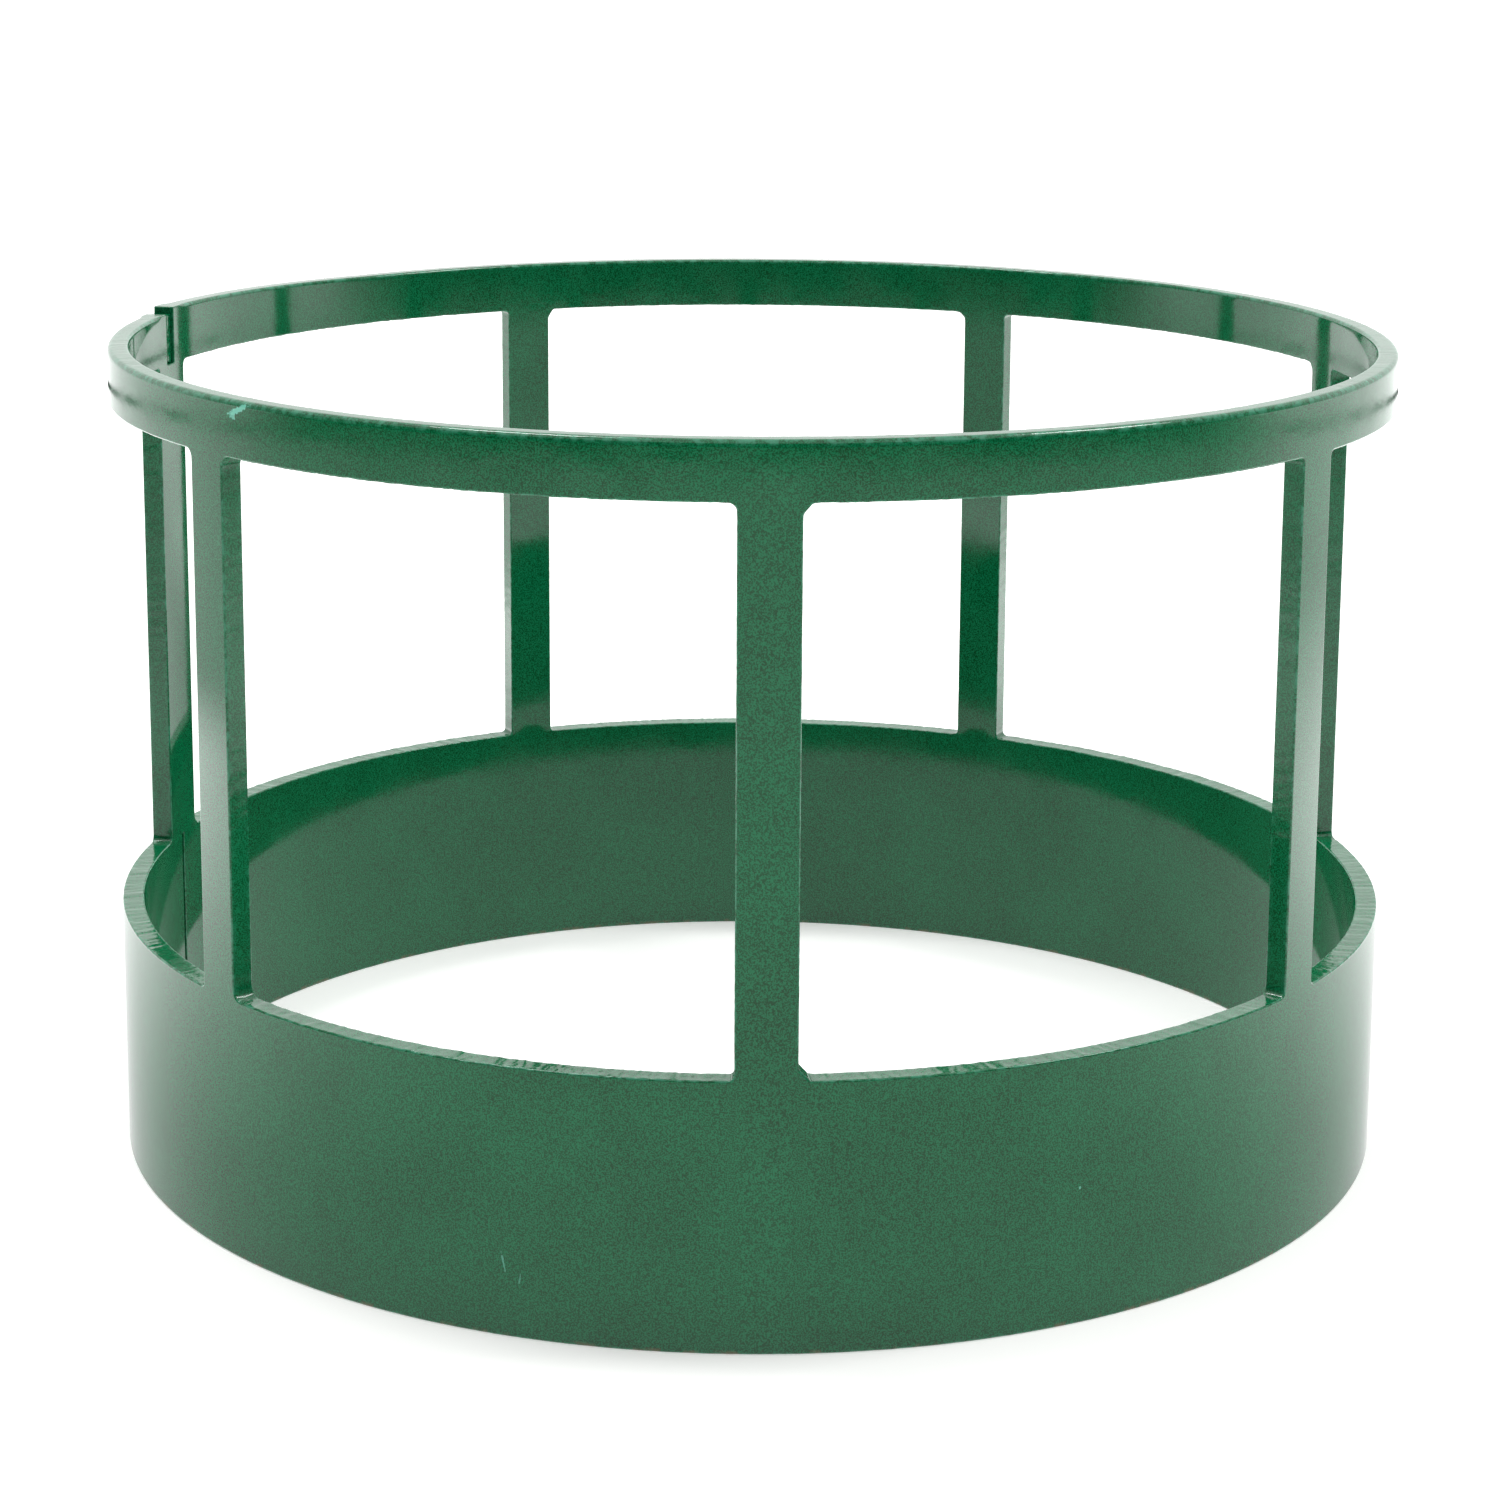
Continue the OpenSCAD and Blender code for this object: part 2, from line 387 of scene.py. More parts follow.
class Piece:
    """One closed piece of the wall: both faces, its share of the cut edges, and its joints."""

    def __init__(self):
        self.co, self.normal, self.faces, self.smooth = [], [], [], []
        self.edge, self.cut = [], []

    def vertex(self, co, normal, edge=0.0, cut=0.0):
        """A new vertex, and its number."""
        self.co.append(co)
        self.normal.append(normal)
        self.edge.append(edge)
        self.cut.append(cut)
        return len(self.co) - 1

    def face(self, corners, smooth):
        """A new face, shaded smooth or flat."""
        self.faces.append(tuple(corners))
        self.smooth.append(smooth)

    def wall_point(self, s, z):
        """Vertices on the outer and the inner face at one point of the layout."""
        out, into = place(s, z, 0), place(s, z, WALL)
        radial = np.array([out[0], out[1], 0]) / math.hypot(out[0], out[1])
        return self.vertex(out, radial), self.vertex(into, -radial)

    def edge_rows(self, key, first, last):
        """The columns of an outline from first to last, with the faces between them."""
        outline, columns = OUTLINES[key], COLUMNS[key]
        rows = []
        for k in range(first, last + 1):
            k %= outline.n
            points = zip(columns["co"][k], columns["normal"][k], EDGE_MASK, CUT_MASK)
            rows.append([self.vertex(*point) for point in points])
        for a, b in zip(rows, rows[1:]):
            for j in range(len(a) - 1):
                self.face((a[j], b[j], b[j + 1], a[j + 1]), True)
        return rows

    def add(self, border, grid):
        """One closed solid. border is its outline in order, with the open air or a joint on its left, made of
        entries ("edge", key, first, last, shift) or ("joint", points). grid is loose points inside it."""
        flat, outer, inner = [], [], []
        is_cut = []  # for each point of the border, whether a cut edge follows it
        end_rows = {}  # the columns where a cut edge starts or stops, by their place on the border
        for entry in border:
            if entry[0] == "edge":
                _, key, first, last, shift = entry
                rows = self.edge_rows(key, first, last)
                end_rows[len(flat)] = rows[0]
                end_rows[len(flat) + len(rows) - 1] = rows[-1]
                flat += [flat_at(key, k, shift) for k in range(first, last + 1)]
                outer += [row[0] for row in rows]
                inner += [row[-1] for row in rows]
                is_cut += [True] * (len(rows) - 1) + [False]
            else:
                for s, z in entry[1]:
                    out, into = self.wall_point(s, z)
                    flat.append((s, z))
                    outer.append(out)
                    inner.append(into)
                    is_cut.append(False)
        # at the joints a flat wall runs through the thickness, and closes against the edges' end columns
        for a, follows in enumerate(is_cut):
            b = (a + 1) % len(flat)
            if not follows:
                self.face((outer[a], outer[b], inner[b], inner[a]), False)
        for a, row in end_rows.items():
            self.face(row if is_cut[a] else row[::-1], False)
        self.both_faces(flat, outer, inner, grid)

    def both_faces(self, flat, outer, inner, grid):
        """The outer and the inner face within a border."""
        count = len(flat)
        verts = [Vector(p) for p in flat] + [Vector(p) for p in grid]
        edges = [(k, (k + 1) % count) for k in range(count)]
        got, _, tris, origin, _, _ = delaunay_2d_cdt(verts, edges, [], 0, 1e-7, True)
        out_of, in_of = [], []
        for v, source in zip(got, origin):
            mine = [k for k in source if k < count]
            out, into = (outer[mine[0]], inner[mine[0]]) if mine else self.wall_point(v.x, v.y)
            out_of.append(out)
            in_of.append(into)
        at = np.array([tuple(v) for v in got])
        middle = at[np.array(tris)].mean(1)
        # the polygon is rounded as the triangles' points are, so that no sliver falls on the wrong side
        polygon = np.array(flat, np.float32).astype(float)
        for (a, b, c), keep in zip(tris, within(middle, polygon)):
            if keep:
                self.face((out_of[a], out_of[b], out_of[c]), True)
                self.face((in_of[c], in_of[b], in_of[a]), True)

    def leaning_normals(self):
        """The vertex normals, with the skirt's inner face leaning back a little as a rolled strip does."""
        co, normal = np.array(self.co), np.array(self.normal)
        out = co[:, :2] / np.linalg.norm(co[:, :2], axis=1)[:, None]
        inward = -(normal[:, :2] * out).sum(1)
        lean = np.clip(inward, 0, 1) ** 4 * (co[:, 2] < (SKIRT_Z + 0.1) * MM)
        normal[:, 2] += SKIRT_LEAN * lean
        return normal / np.linalg.norm(normal, axis=1)[:, None]

    def mesh(self, name):
        """The piece as a smooth mesh."""
        mesh = bpy.data.meshes.new(name)
        mesh.from_pydata([tuple(c) for c in self.co], [], self.faces)
        mesh.polygons.foreach_set("use_smooth", [True] * len(self.faces))
        mesh.update()
        return mesh

    def object(self, name):
        """The piece as an object, shaded with the wall's own normals and flat at its joints."""
        mesh = self.mesh(name)
        shaded = self.leaning_normals()
        normals = []
        for polygon, smooth in zip(mesh.polygons, self.smooth):
            for v in polygon.vertices:
                normals.append(tuple(shaded[v]) if smooth else tuple(polygon.normal))
        mesh.normals_split_custom_set(normals)
        for title, values in (("edge", self.edge), ("cut", self.cut)):
            mesh.attributes.new(title, "FLOAT", "POINT").data.foreach_set("value", values)
        return linked(name, mesh)


def stretch(key, owner):
    """First and last index of an owner's stretch of an outline, its end points included."""
    outline = OUTLINES[key]
    names = list(outline.start)
    first = outline.start[owner]
    following = names[(names.index(owner) + 1) % len(names)]
    last = outline.start[following]
    return first, last if last > first else last + outline.n


JOINT_STEP = 0.5


def joint_line(a, b):
    """The points between a and b on a straight joint, the same whichever way it runs."""
    low, high = sorted([tuple(a), tuple(b)])
    points = resample([low, high], JOINT_STEP)[1:-1]
    return points if tuple(a) <= tuple(b) else points[::-1]


def joint(*corners):
    """A joint's points through these corners; the first and last belong to the neighbouring edges."""
    line = []
    for n, (a, b) in enumerate(zip(corners, corners[1:])):
        line += [tuple(p) for p in joint_line(a, b)]
        if n < len(corners) - 2:
            line.append(tuple(b))
    return ("joint", line)


def edge(key, owner, shift=0.0):
    """A border entry for an owner's stretch of an outline."""
    first, last = stretch(key, owner)
    return ("edge", key, first, last, shift)


def ends(entry):
    """The two ends of an edge entry, as s and z on the faces."""
    _, key, first, last, shift = entry
    return flat_at(key, first, shift), flat_at(key, last, shift)


def post_sides(i):
    """The window left of post i, what to add to its s to reach the post, and the window to the right."""
    return ("window", (i - 1) % COUNT), (-ROUND if i == 0 else 0.0), ("window", i)


def staggered_grid(s0, s1, z0, z1, step):
    """Loose points in a box of the layout, in staggered rows."""
    rows = max(1, int((z1 - z0) / step))
    points = []
    for r, z in enumerate(np.linspace(z0, z1, rows + 1)):
        n = max(1, int((s1 - s0) / step))
        for k in range(n + r % 2):
            points.append((s0 + (k + 0.5 * (1 - r % 2)) * (s1 - s0) / n, z))
    return points


BITE = EDGES["window"][2] + 0.06  # how far the corner welds reach into the metal beside them
# The loose points on the faces: how far they stay from the edges, and their spacing
POST_SIDE, POST_END, POST_GRID = 1.1, 1.5, 1.0
HOOP_LOW, HOOP_HIGH, HOOP_GRID = 1.0, 1.3, 1.0
SKIRT_MARGIN, SKIRT_GRID = 1.1, 1.3
SEAM_MARGIN = 1.3


def post_and_welds(i):
    """A post and the corner welds at its two ends, added to PIECES."""
    post = POSTS[i]
    left_key, shift, right_key = post_sides(i)
    s_left, s_right = POST_S[i] - HALF_POST[i], POST_S[i] + HALF_POST[i]
    in_hoop = (s_left + BITE, HOOP_Z + BITE), (s_right - BITE, HOOP_Z + BITE)
    in_skirt = (s_left + BITE, SKIRT_Z - BITE), (s_right - BITE, SKIRT_Z - BITE)
    for part, (in_left, in_right) in (("hoop_weld_", in_hoop), ("skirt_weld_", in_skirt)):
        weld = Piece()
        for key, offset, corner in ((left_key, shift, in_left), (right_key, 0.0, in_right)):
            line = edge(key, part + post, offset)
            start, end = ends(line)
            # the border runs along the free edge and back through the corner
            weld.add([line, joint(end, corner, start)], [])
        PIECES[part + post] = weld
    up = edge(left_key, "post_" + post, shift)
    down = edge(right_key, "post_" + post)
    if post == "seam":
        # the strips' ends are a gap apart at the seam post, so its ends show in the two slots
        head = edge("top", "post_seam", -ROUND)
        foot = edge("bottom", "post_seam")
        border = [
            up,
            joint(ends(up)[1], in_hoop[0], ends(head)[0]),
            head,
            joint(ends(head)[1], in_hoop[1], ends(down)[0]),
            down,
            joint(ends(down)[1], in_skirt[1], ends(foot)[0]),
            foot,
            joint(ends(foot)[1], in_skirt[0], ends(up)[0]),
        ]
    else:
        border = [
            up,
            joint(ends(up)[1], *in_hoop, ends(down)[0]),
            down,
            joint(ends(down)[1], in_skirt[1], in_skirt[0], ends(up)[0]),
        ]
    low, high = SKIRT_Z + POST_END, HOOP_Z - POST_END
    grid = staggered_grid(s_left + POST_SIDE, s_right - POST_SIDE, low, high, POST_GRID)
    PIECES["post_" + post] = Piece()
    PIECES["post_" + post].add(border, grid)


def strip(name, corner_z, rim_key, way):
    """The border of the hoop or the skirt: its rim with both seam ends, then back past the windows and posts.
    way is 1 where the windows are passed anticlockwise, and -1 where they are passed clockwise."""
    outline = OUTLINES[rim_key]
    first, last = outline.start[name], outline.start["post_seam"]
    border = [("edge", rim_key, first, last, 0.0)]
    here = flat_at(rim_key, last)
    for i in range(COUNT)[::way]:
        side = edge(("window", i), name)
        start, end = ends(side)
        # the post that comes before this window
        post = i if way > 0 else i + 1
        post_s = POST_S[post] if post < COUNT else ROUND
        reach = HALF_POST[post % COUNT] - BITE
        corners = [(post_s - way * reach, corner_z), (post_s + way * reach, corner_z)]
        if post % COUNT == 0:
            corners.pop(0)  # the border starts within the seam post
        border += [joint(here, *corners, start), side]
        here = end
    seam_s = (ROUND if way > 0 else 0.0) - way * (HALF_POST[0] - BITE)
    border.append(joint(here, (seam_s, corner_z), flat_at(rim_key, first)))
    return border


def hoop_and_skirt():
    """The two strips, added to PIECES."""
    room = GAP["hoop"] / 2 + SEAM_MARGIN
    grid = staggered_grid(room, ROUND - room, HOOP_Z + HOOP_LOW, RING_Z - HOOP_HIGH, HOOP_GRID)
    PIECES["top_hoop"] = Piece()
    PIECES["top_hoop"].add(strip("top_hoop", HOOP_Z + BITE, "top", -1), grid)
    room = GAP["skirt"] / 2 + SEAM_MARGIN
    grid = staggered_grid(room, ROUND - room, SKIRT_MARGIN, SKIRT_Z - SKIRT_MARGIN, SKIRT_GRID)
    PIECES["base_skirt"] = Piece()
    PIECES["base_skirt"].add(strip("base_skirt", SKIRT_Z - BITE, "bottom", 1), grid)


PIECES = {}
for i in range(COUNT):
    post_and_welds(i)
hoop_and_skirt()

# ---------------------------------------------------------------- the two seam welds

BEAD_COVER = 0.25  # how far a bead covers the metal beside its gap
BEAD_CROWN = 0.09  # how proud a bead stands
BEAD_STEP = 0.2
BEAD_OVERRUN = 0.6  # how far it runs onto the seam post
BEAD_SHORT = 0.05  # how far it stops short of the rim or the foot
BEAD_END = 0.5  # the length over which each end sinks into the metal
SUNK = 0.1
OUTSIDE_POINTS, ROOT_POINTS = 13, 9


def seam_bead(gap, low, high, z_low, z_high, seed):
    """A low dressed bead from low to high, with its root in the slot between z_low and z_high.
    The root stops short of the inside by the groove."""
    rings = []
    for h in np.arange(low, high + 1e-6, BEAD_STEP):
        near_end = max(min(h - low, high - h), 0.02)
        swell = math.sqrt(min(1.0, near_end / BEAD_END))
        ripple = noise.noise(Vector((0, h / 0.45, seed)))
        wander = 1 + 0.18 * noise.noise(Vector((3, h / 0.9, seed)))
        half = (gap / 2 + BEAD_COVER) * (0.75 + 0.25 * swell) * wander
        crown = (BEAD_CROWN + 0.035 * ripple) * swell - SUNK * (1 - swell)
        toe = 0.04
        ring = []
        for t in np.linspace(-1, 1, OUTSIDE_POINTS):
            ring.append((half * t, toe - (crown + toe) * (1 - t * t)))
        root = gap / 2 + 0.01
        base = WALL - GROOVE if z_low <= h <= z_high else 0.3
        for t in np.linspace(1, -1, ROOT_POINTS):
            lump = 0.03 * noise.noise(Vector((t, h / 0.5, seed + 2)))
            ring.append((root * t, base - 0.1 * (1 - t * t) + lump))
        rings.append([place(s, h, d) for s, d in ring])
    piece = Piece()
    ids = [[piece.vertex(c, (0, 0, 1)) for c in ring] for ring in rings]
    m = len(ids[0])
    for a, b in zip(ids, ids[1:]):
        for j in range(m):
            piece.face((a[j], a[(j + 1) % m], b[(j + 1) % m], b[j]), True)
    piece.face(ids[0][::-1], True)
    piece.face(ids[-1], True)
    return piece


BEADS = {
    "hoop": seam_bead(GAP["hoop"], HOOP_Z - BEAD_OVERRUN, RING_Z - BEAD_SHORT, HOOP_Z, RING_Z, 5.0),
    "skirt": seam_bead(GAP["skirt"], BEAD_SHORT, SKIRT_Z + BEAD_OVERRUN, 0, SKIRT_Z, 9.0),
}
OBJECTS = {name: piece.object("paint_" + name) for name, piece in PIECES.items()}
for part, bead in BEADS.items():
    name = part + "_seam_weld"
    OBJECTS[name] = linked("paint_" + name, bead.mesh("paint_" + name))

# ---------------------------------------------------------------- materials


class Nodes:
    """Short calls for building a node tree."""

    def __init__(self, owner):
        owner.use_nodes = True
        self.tree = owner.node_tree
        self.tree.nodes.clear()

    def add(self, kind, inputs=None, **settings):
        """A new node, with each input linked to a socket or set to a value."""
        node = self.tree.nodes.new("ShaderNode" + kind)
        for key, value in settings.items():
            setattr(node, key, value)
        for key, value in (inputs or {}).items():
            if isinstance(value, bpy.types.NodeSocket):
                self.tree.links.new(value, node.inputs[key])
            else:
                node.inputs[key].default_value = value
        return node

    def math(self, operation, a, b=0.0, c=0.0):
        """The result of a sum on up to three numbers."""
        return self.add("Math", {0: a, 1: b, 2: c}, operation=operation).outputs[0]

    def vector(self, operation, a, b=(0, 0, 0)):
        """The result of a sum on one or two vectors: a vector, or a number where the operation gives one."""
        node = self.add("VectorMath", {0: a, 1: b}, operation=operation)
        return node.outputs["Value" if operation in ("LENGTH", "DOT_PRODUCT", "DISTANCE") else "Vector"]

    def noise(self, vector, size_mm, detail=2.0, roughness=0.5):
        """Noise with features about size_mm across."""
        inputs = {"Vector": vector, "Scale": 1 / (size_mm * MM), "Detail": detail, "Roughness": roughness}
        return self.add("TexNoise", inputs).outputs["Fac"]

    def ramp(self, value, low, high, to_low=0.0, to_high=1.0):
        """A smooth step from to_low at low to to_high at high."""
        inputs = {"Value": value, "From Min": low, "From Max": high, "To Min": to_low, "To Max": to_high}
        return self.add("MapRange", inputs, interpolation_type="SMOOTHSTEP").outputs["Result"]

    def mix(self, factor, a, b):
        """A blend of two colours."""
        node = self.add("Mix", {0: factor, 6: a, 7: b}, data_type="RGBA")
        return node.outputs[2]


def mark(n, where, ragged, s, z, along, across, tilt):
    """A mask for a small mark on the outside, centred at s, z, with half sizes in millimetres."""
    centre = place(s, z, 0)
    phi = SEAM_PHI + s / R_OUT
    t, u = np.array([-math.sin(phi), math.cos(phi), 0]), np.array([0, 0, 1])
    a = math.cos(tilt) * t + math.sin(tilt) * u
    b = -math.sin(tilt) * t + math.cos(tilt) * u
    from_centre = n.vector("SUBTRACT", where, tuple(centre))
    p = n.math("MULTIPLY", n.vector("DOT_PRODUCT", from_centre, tuple(a)), 1 / (along * MM))
    q = n.math("MULTIPLY", n.vector("DOT_PRODUCT", from_centre, tuple(b)), 1 / (across * MM))
    r = n.vector("DOT_PRODUCT", from_centre, (math.cos(phi) / (2 * MM), math.sin(phi) / (2 * MM), 0))
    reach = n.vector("LENGTH", n.add("CombineXYZ", {0: p, 1: q, 2: r}).outputs[0])
    return n.ramp(n.math("ADD", reach, ragged), 1.15, 0.8)


def s_at(degrees):
    """s of an azimuth in degrees, where -90 is the front."""
    return (math.radians(degrees) - SEAM_PHI) % TURN * R_OUT


# Small marks on the outside: azimuth and height, half sizes in millimetres, tilt in degrees, strength
MARKS = [
    (223.5, 75.25, 1.3, 0.24, 22, 0.8),
    (222.6, 74.8, 0.4, 0.45, 0, 0.65),
    (249.0, 6.5, 0.08, 0.9, 12, 0.45),
    (250.4, 5.2, 0.07, 0.5, -8, 0.35),
    (296.0, 12.0, 0.09, 0.16, 0, 0.6),
]

# Colours
PAINT_DARK = (0.0004, 0.056, 0.016, 1.0)
PAINT_LIGHT = (0.0045, 0.172, 0.067, 1.0)
# pale green of the thin paint on the edges, which also serves as a painted highlight
EDGE_PAINT_AND_HIGHLIGHT = (0.05, 0.27, 0.16, 1.0)
PRIMER = (0.19, 0.13, 0.075, 1.0)
CHIP = (0.17, 0.62, 0.47, 1.0)
DUST = (0.5, 0.6, 0.52, 1.0)
DUST_CELL = 7  # millimetres between possible specks


def paint(name, lumpy):
    """Glossy green enamel on cut and rolled steel: orange peel, fine grain, thin paint on the edges with a
    painted highlight along them, dust and marks.
    """
    material = bpy.data.materials.new(name)
    n = Nodes(material)
    where = n.add("TexCoord").outputs["Object"]
    rim = n.add("Attribute", attribute_name="edge").outputs["Fac"]
    cut = n.add("Attribute", attribute_name="cut").outputs["Fac"]
    # colour: slow mottling, then fine grain
    slow = n.ramp(n.noise(where, 9.0, 2.0), 0.32, 0.68)
    grain = n.noise(where, 0.13, 1.0, 0.7)
    shade = n.math("ADD", n.math("MULTIPLY", slow, 0.15), n.ramp(grain, 0.41, 0.59, 0.0, 0.85))
    colour = n.mix(shade, PAINT_DARK, PAINT_LIGHT)
    # paint is thin on the sharp edges, in a broken line, and this pale line is also a painted highlight along
    # them
    broken = n.ramp(n.noise(where, 0.9, 2.0, 0.6), 0.42, 0.62)
    thin_paint_and_highlight = n.math("MULTIPLY", n.math("MULTIPLY", rim, broken), 0.75)
    colour = n.mix(thin_paint_and_highlight, colour, EDGE_PAINT_AND_HIGHLIGHT)
    height = n.add("SeparateXYZ", {0: where}).outputs["Z"]
    foot = n.ramp(height, 0.5 * MM, 0.1 * MM)
    bare = n.math("MULTIPLY", n.ramp(n.noise(where, 1.7, 2.0, 0.65), 0.5, 0.64), foot)
    colour = n.mix(n.math("MULTIPLY", bare, 0.6), colour, PRIMER)
    # dust: rare pale specks of different sizes
    cells = n.add("TexVoronoi", {"Vector": where, "Scale": 1 / (DUST_CELL * MM)}, feature="F1")
    pick = n.add("SeparateXYZ", {0: cells.outputs["Color"]})
    size = n.ramp(pick.outputs[0], 0.86, 1.0, 0.0, 0.028)
    speck = n.math("LESS_THAN", cells.outputs["Distance"], size)
    colour = n.mix(n.math("MULTIPLY", speck, 0.7), colour, DUST)
    # the small marks on the outside
    ragged = n.math("MULTIPLY", n.math("SUBTRACT", n.noise(where, 0.3), 0.5), 2.0)
    chip = None
    for degrees, z, along, across, tilt, strength in MARKS:
        one = mark(n, where, ragged, s_at(degrees), z, along, across, math.radians(tilt))
        one = n.math("MULTIPLY", one, strength)
        chip = n.math("MAXIMUM", chip, one) if chip else one
    colour = n.mix(chip, colour, CHIP)
    # gloss: near mirror, duller on the cut faces and marks
    rough = n.ramp(n.noise(where, 5.0, 1.0), 0.3, 0.7, 0.05, 0.09)
    rough = n.math("ADD", rough, n.math("MULTIPLY", cut, 0.06))
    rough = n.math("ADD", rough, n.math("MULTIPLY", n.math("MAXIMUM", chip, speck), 0.3))
    # relief: orange peel, slow waves in the sheet, and the grit of the cut
    peel = n.math("MULTIPLY", n.noise(where, 0.9, 1.0), 0.0016 * lumpy)
    wave = n.math("MULTIPLY", n.noise(where, 6.0, 1.0), 0.007)
    fine = n.math("MULTIPLY", n.noise(where, 0.2, 1.0), 0.0006)
    grit = n.math("MULTIPLY", n.math("MULTIPLY", n.noise(where, 0.3, 2.0), cut), 0.006)
    flake = n.math("MULTIPLY", chip, -0.02)
    relief = n.math("ADD", n.math("ADD", peel, wave), n.math("ADD", fine, n.math("ADD", grit, flake)))
    bump = n.add("Bump", {"Height": relief, "Strength": 1.0, "Distance": MM})
    shader = n.add(
        "BsdfPrincipled",
        {"Base Color": colour, "Roughness": rough, "IOR": 1.5, "Normal": bump.outputs["Normal"]},
    )
    n.add("OutputMaterial", {"Surface": shader.outputs["BSDF"]})
    return material


PAINTS = {"green_paint": paint("green_paint", 1.0), "weld_paint": paint("weld_paint", 1.5)}

for name, obj in OBJECTS.items():
    slot = "weld_paint" if "weld" in name else "green_paint"
    obj.data.materials.append(PAINTS[slot])
    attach(obj, "root")
    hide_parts(name)

# ---------------------------------------------------------------- floor, light and camera

FLOOR_SIZE = 6.0  # half its side, in metres
FLOOR_WHITE = (0.9, 0.9, 0.89, 1.0)
FLOOR_GLOW = 0.3
# The round table that the paint mirrors, in metres
TABLE_RADIUS = 0.478
TABLE_EDGE = 0.006
TABLE_LEVEL = 0.95
# Lamps: name and place. Each is a square that points at the middle of the floor.
LAMPS = [("soft_left", (-0.42, 0.25, 1.3)), ("soft_right", (0.75, 0.1, 1.2))]
LAMP_SIZE = 0.35
LAMP_POWER = 6.0
BACKDROP = 1.1  # how bright the world is to the camera


def table_glow(n, where):
    """How bright the floor looks in the paint: a table, brighter at both sides and at the back."""
    flat = n.add("CombineXYZ", {0: where["X"], 1: where["Y"]}).outputs[0]
    reach = n.vector("LENGTH", flat)
    table = n.ramp(reach, TABLE_RADIUS + 0.002, TABLE_RADIUS - 0.003)
    past_edge = n.ramp(reach, TABLE_RADIUS + TABLE_EDGE, TABLE_RADIUS + 2 * TABLE_EDGE)
    beyond = n.math("MULTIPLY", past_edge, n.ramp(where["Y"], -0.2, 0.1))
    to_right = n.ramp(where["X"], -0.01, 0.01)
    to_left = n.ramp(where["X"], 0.01, -0.01)
    near_right = n.math("MULTIPLY", n.ramp(reach, 0.34, 0.15, 0.0, 0.65), to_right)
    near_left = n.math("MULTIPLY", n.ramp(reach, 0.26, 0.2), to_left)
    near = n.math("MAXIMUM", near_right, near_left)
    back = n.ramp(where["Y"], -0.12, 0.1)
    left_side = n.ramp(where["X"], -0.05, -0.2, 0.0, 0.85)
    right_side = n.ramp(where["X"], 0.05, 0.2, 0.0, 1.15)
    side = n.math("MAXIMUM", left_side, right_side)
    boost = n.math("MULTIPLY_ADD", back, 2.2, 1.5)
    boost = n.math("MULTIPLY_ADD", near, boost, n.math("MULTIPLY", back, 0.8))
    light = n.math("MULTIPLY_ADD", side, boost, TABLE_LEVEL)
    return n.math("MULTIPLY_ADD", n.math("MAXIMUM", table, beyond), light, 0.01)


def stage_floor():
    """A plain white floor. In the paint's reflections it is a round table with a dark room before it."""
    mesh = bpy.data.meshes.new("floor")
    k = FLOOR_SIZE
    mesh.from_pydata([(-k, -k, 0), (k, -k, 0), (k, k, 0), (-k, k, 0)], [], [(0, 1, 2, 3)])
    obj = linked("floor", mesh)
    material = bpy.data.materials.new("floor_white")
    n = Nodes(material)
    where = n.add("SeparateXYZ", {0: n.add("TexCoord").outputs["Object"]}).outputs
    gloss = n.add("LightPath").outputs["Is Glossy Ray"]
    paper = n.add("BsdfDiffuse", {"Color": FLOOR_WHITE}).outputs["BSDF"]
    glow = n.add("Emission", {"Color": (1.0, 1.0, 0.99, 1.0), "Strength": FLOOR_GLOW}).outputs["Emission"]
    white = n.add("AddShader", {0: paper, 1: glow}).outputs["Shader"]
    mirrored = n.add("Emission", {"Strength": table_glow(n, where)}).outputs["Emission"]
    mixed = n.add("MixShader", {0: gloss, 1: white, 2: mirrored})
    n.add("OutputMaterial", {"Surface": mixed.outputs["Shader"]})
    mesh.materials.append(material)


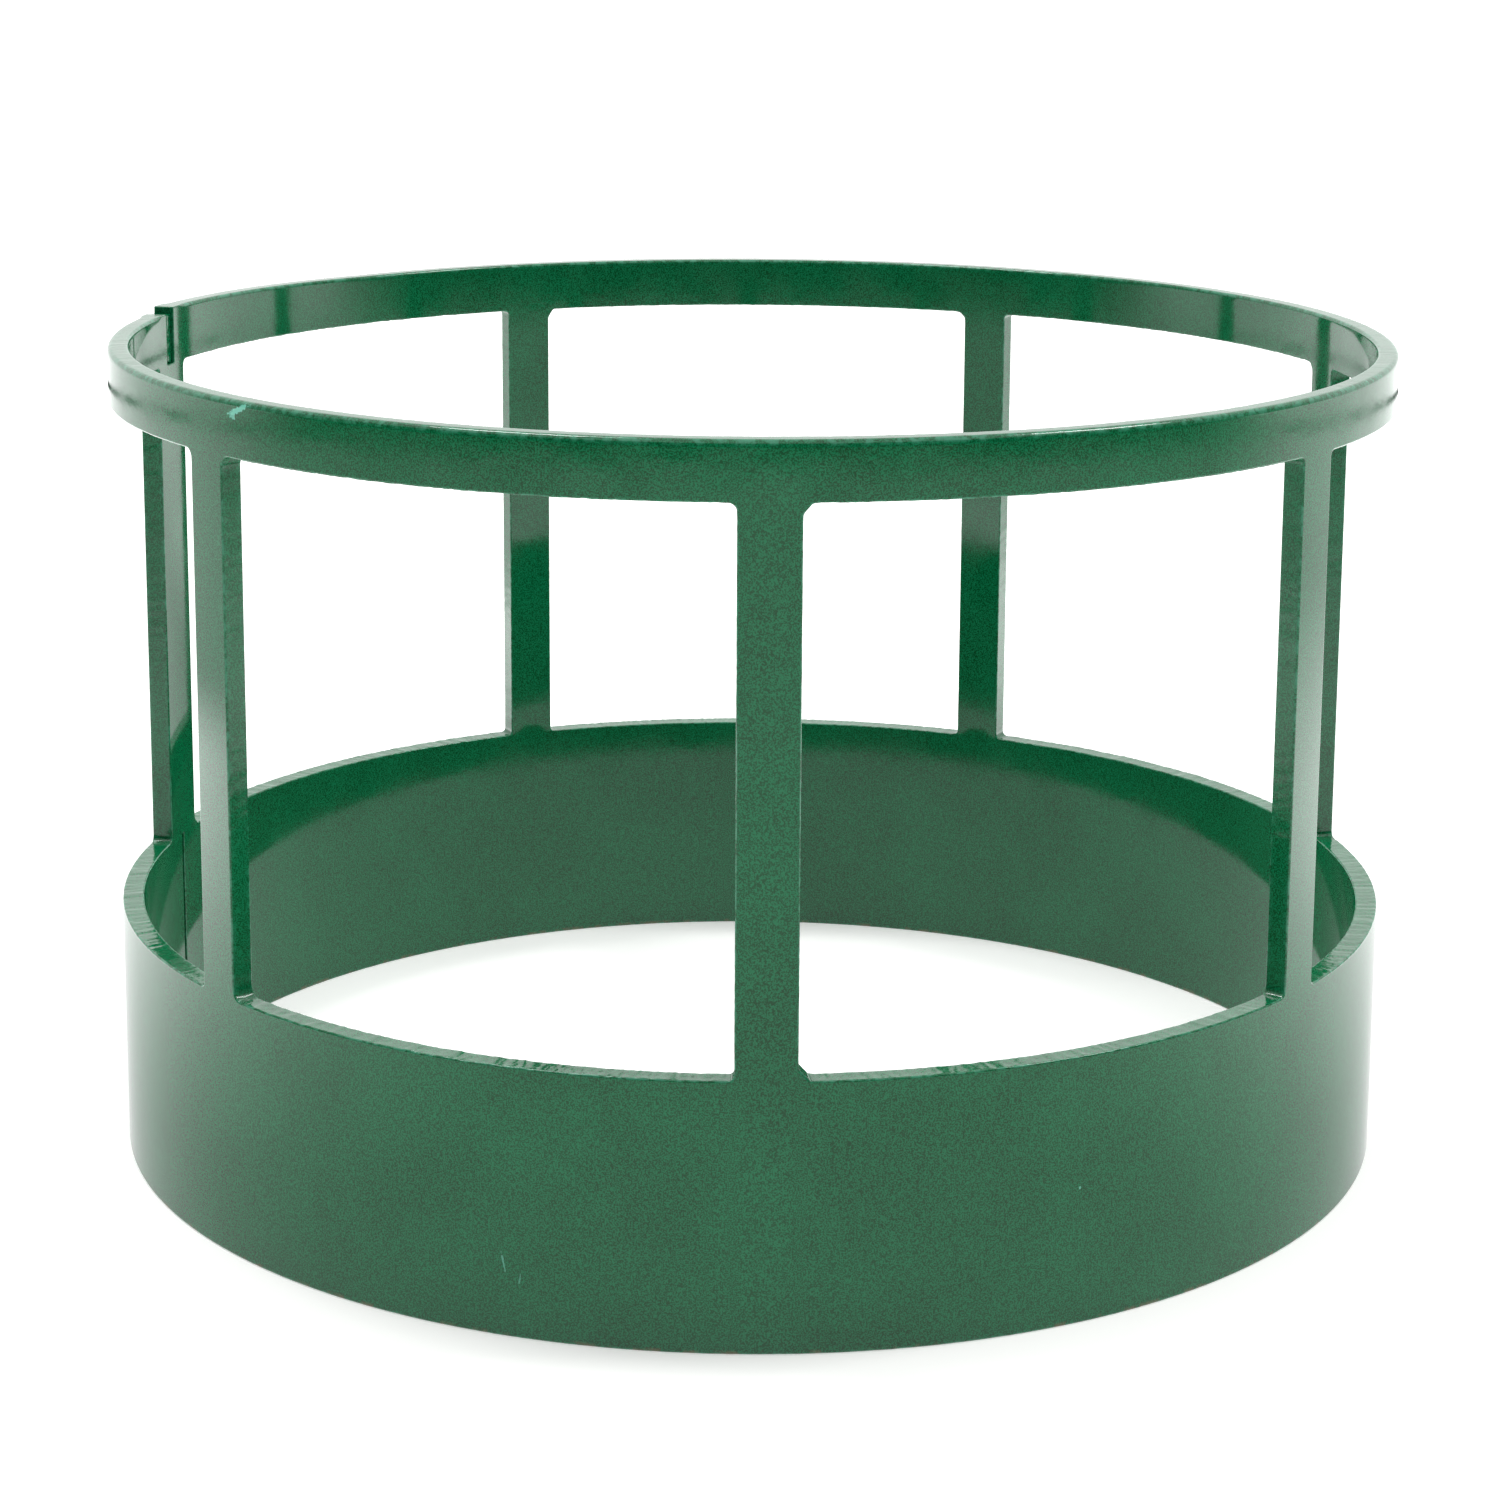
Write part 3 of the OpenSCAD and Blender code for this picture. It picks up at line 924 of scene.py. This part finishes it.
def studio_world():
    """White to the camera. To the paint it is a room, white behind, grey beside and dark in front."""
    world = bpy.data.worlds.new("studio")
    bpy.context.scene.world = world
    n = Nodes(world)
    aim = n.add("SeparateXYZ", {0: n.add("TexCoord").outputs["Generated"]}).outputs
    above = n.ramp(aim["Z"], 0.5, 0.72)
    below = n.math("SUBTRACT", 1.0, above)
    behind = n.ramp(aim["Y"], 0.15, 0.55)
    beside = n.ramp(aim["Y"], -0.55, 0.1)
    walls = n.math("ADD", n.math("MULTIPLY", behind, 0.9), n.math("MULTIPLY", beside, 0.35))
    walls = n.math("ADD", walls, 0.03)
    room = n.math("ADD", n.math("MULTIPLY", above, 1.1), n.math("MULTIPLY", below, walls))
    to_camera = n.add("LightPath").outputs["Is Camera Ray"]
    to_paint = n.math("SUBTRACT", 1.0, to_camera)
    level = n.math("ADD", n.math("MULTIPLY", to_camera, BACKDROP), n.math("MULTIPLY", to_paint, room))
    background = n.add("Background", {"Color": (1, 1, 1, 1), "Strength": level})
    n.add("OutputWorld", {"Surface": background.outputs["Background"]})


def area_light(name, location):
    """A soft square lamp."""
    data = bpy.data.lights.new(name, "AREA")
    data.shape = "RECTANGLE"
    data.size = data.size_y = LAMP_SIZE
    data.energy = LAMP_POWER
    obj = linked(name, data)
    obj.location = location
    obj.rotation_mode = "QUATERNION"
    obj.rotation_quaternion = (-Vector(location)).to_track_quat("-Z", "Y")


stage_floor()
studio_world()
for lamp, location in LAMPS:
    area_light(lamp, location)

# The camera in front of the ring, in metres and radians. CAMERA_TURN then turns it about the ring's axis.
CAMERA_TURN = math.radians(-0.6)
CAMERA_SIDE, CAMERA_BACK, CAMERA_UP = -0.00445, 0.33326, 0.12259
CAMERA_PITCH, CAMERA_ROLL, CAMERA_YAW = 0.1962, 0.0060, 0.0128
CAMERA_LENS = 85.55
CAMERA_SENSOR = 36.0
CAMERA_SHIFT = -0.1417


def place_camera():
    """The camera in its place, set as the scene's camera."""
    data = bpy.data.cameras.new("camera")
    data.lens = CAMERA_LENS
    data.sensor_width = CAMERA_SENSOR
    data.shift_y = CAMERA_SHIFT
    data.clip_start, data.clip_end = 0.01, 20.0
    camera = linked("camera", data)
    level = Vector((math.sin(CAMERA_YAW), math.cos(CAMERA_YAW), 0))
    forward = math.cos(CAMERA_PITCH) * level - math.sin(CAMERA_PITCH) * Vector((0, 0, 1))
    right = Vector((math.cos(CAMERA_YAW), -math.sin(CAMERA_YAW), 0))
    above = right.cross(forward)
    x_axis = math.cos(CAMERA_ROLL) * right + math.sin(CAMERA_ROLL) * above
    y_axis = -math.sin(CAMERA_ROLL) * right + math.cos(CAMERA_ROLL) * above
    basis = Matrix((x_axis, y_axis, -forward)).transposed().to_4x4()
    basis.translation = Vector((CAMERA_SIDE, -CAMERA_BACK, CAMERA_UP))
    camera.matrix_world = Matrix.Rotation(CAMERA_TURN, 4, "Z") @ basis
    bpy.context.scene.camera = camera
    bpy.context.scene.view_settings.view_transform = "Standard"


place_camera()
